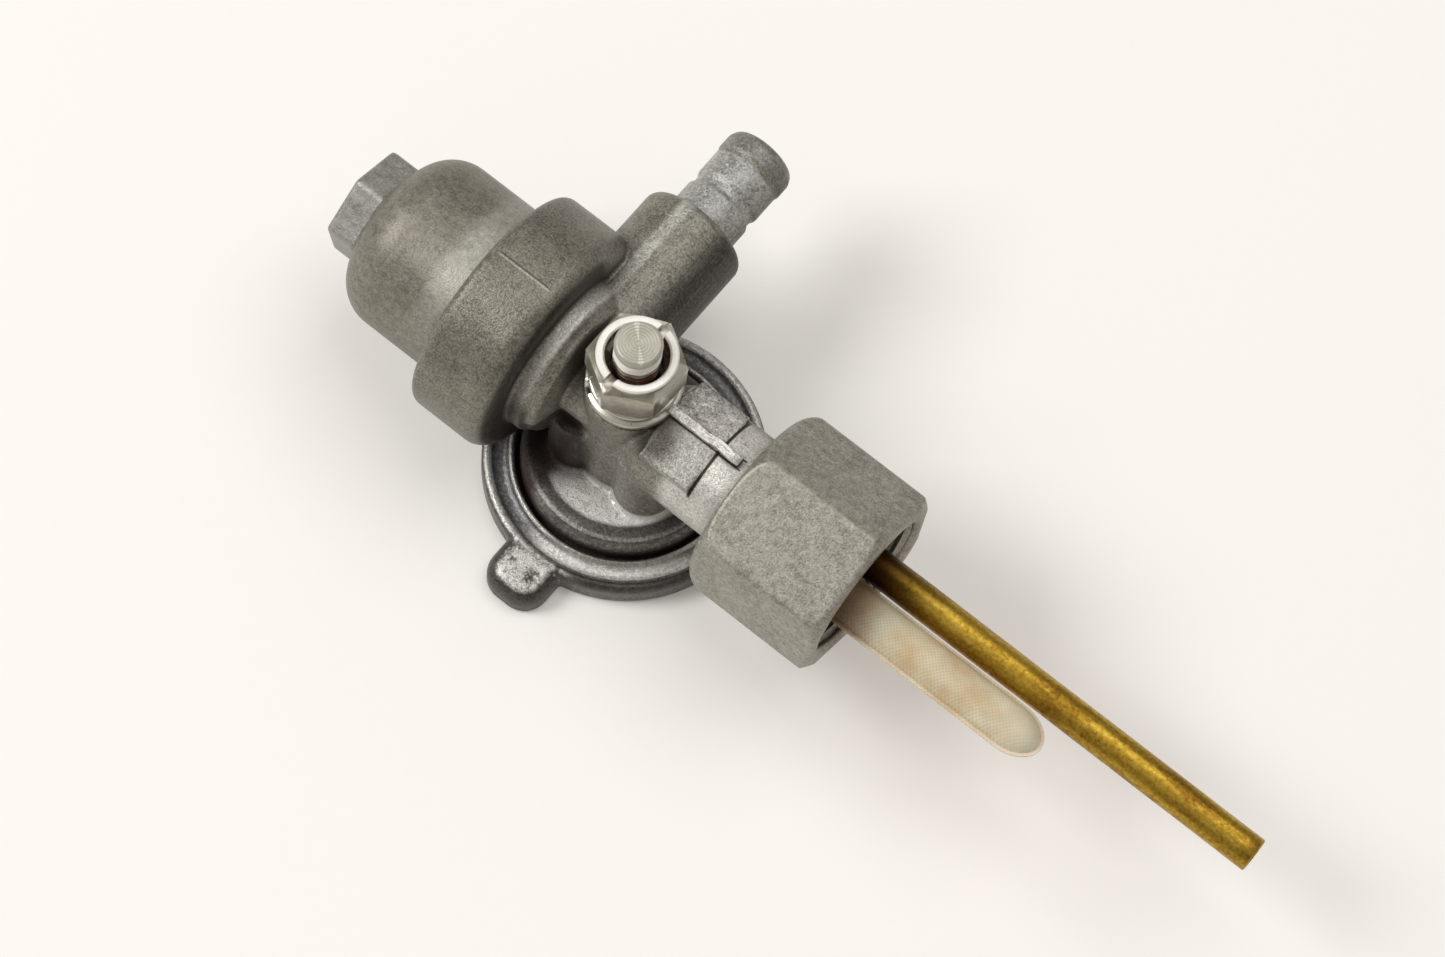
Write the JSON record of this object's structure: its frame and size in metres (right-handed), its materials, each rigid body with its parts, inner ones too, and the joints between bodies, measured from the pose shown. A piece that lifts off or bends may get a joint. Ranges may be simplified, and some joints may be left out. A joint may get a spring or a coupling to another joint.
{
  "type": "fuel tap",
  "caption": "Fuel tap with a round lever disc, a hose outlet, a sediment bowl, a union nut, a brass standpipe and an inlet strainer.",
  "frame": {"origin": "middle of the lever disc's flat face, on the spindle's axis", "axes": "+Z along the spindle towards its nut, +X along the inlet towards the standpipe's open end, +Y along the hose outlet"},
  "size_m": [0.1135, 0.0506, 0.034],
  "materials": {
    "casting": "satin grey zinc casting with darker crevices",
    "disc_zinc": "speckled satin zinc casting, bright on its edges",
    "dull_zinc": "matte mottled zinc",
    "plated": "bright plated steel with some brown stain in the thread",
    "brass": "aged golden brown tube",
    "nylon": "natural nylon",
    "gauze": "woven translucent gauze",
    "rubber": "matte black",
    "fibre": "pressed fibre"
  },
  "bodies": {
    "body": {"tap_body": "casting", "bowl_gasket": "rubber", "bowl_screen_frame": "nylon", "bowl_screen_gauze": "gauze", "union_gasket": "fibre", "standpipe": "brass", "strainer_ferrule": "nylon", "strainer_sleeve": "gauze", "valve_gasket": "rubber", "spindle_seal": "rubber"},
    "lever": {"knob": "disc_zinc", "spindle": "plated", "spring_washer": "plated", "flat_washer": "plated", "spindle_nut": "plated"},
    "union": {"union_nut": "dull_zinc"},
    "bowl": {"sediment_bowl": "dull_zinc"}
  },
  "joints": [
    {"name": "lever_turn", "type": "hinge", "parent": "body", "child": "lever", "pos_m": [0, 0, 0], "axis": [0, 0, 1], "range_deg": [-90, 90]},
    {"name": "union_nut_spin", "type": "hinge", "parent": "body", "child": "union", "pos_m": [0.015, 0, 0.0175], "axis": [1, 0, 0], "continuous": true},
    {"name": "bowl_draw", "type": "slide", "parent": "body", "child": "bowl", "axis": [-1, 0, 0], "range_m": [0, 0.02]}
  ]
}
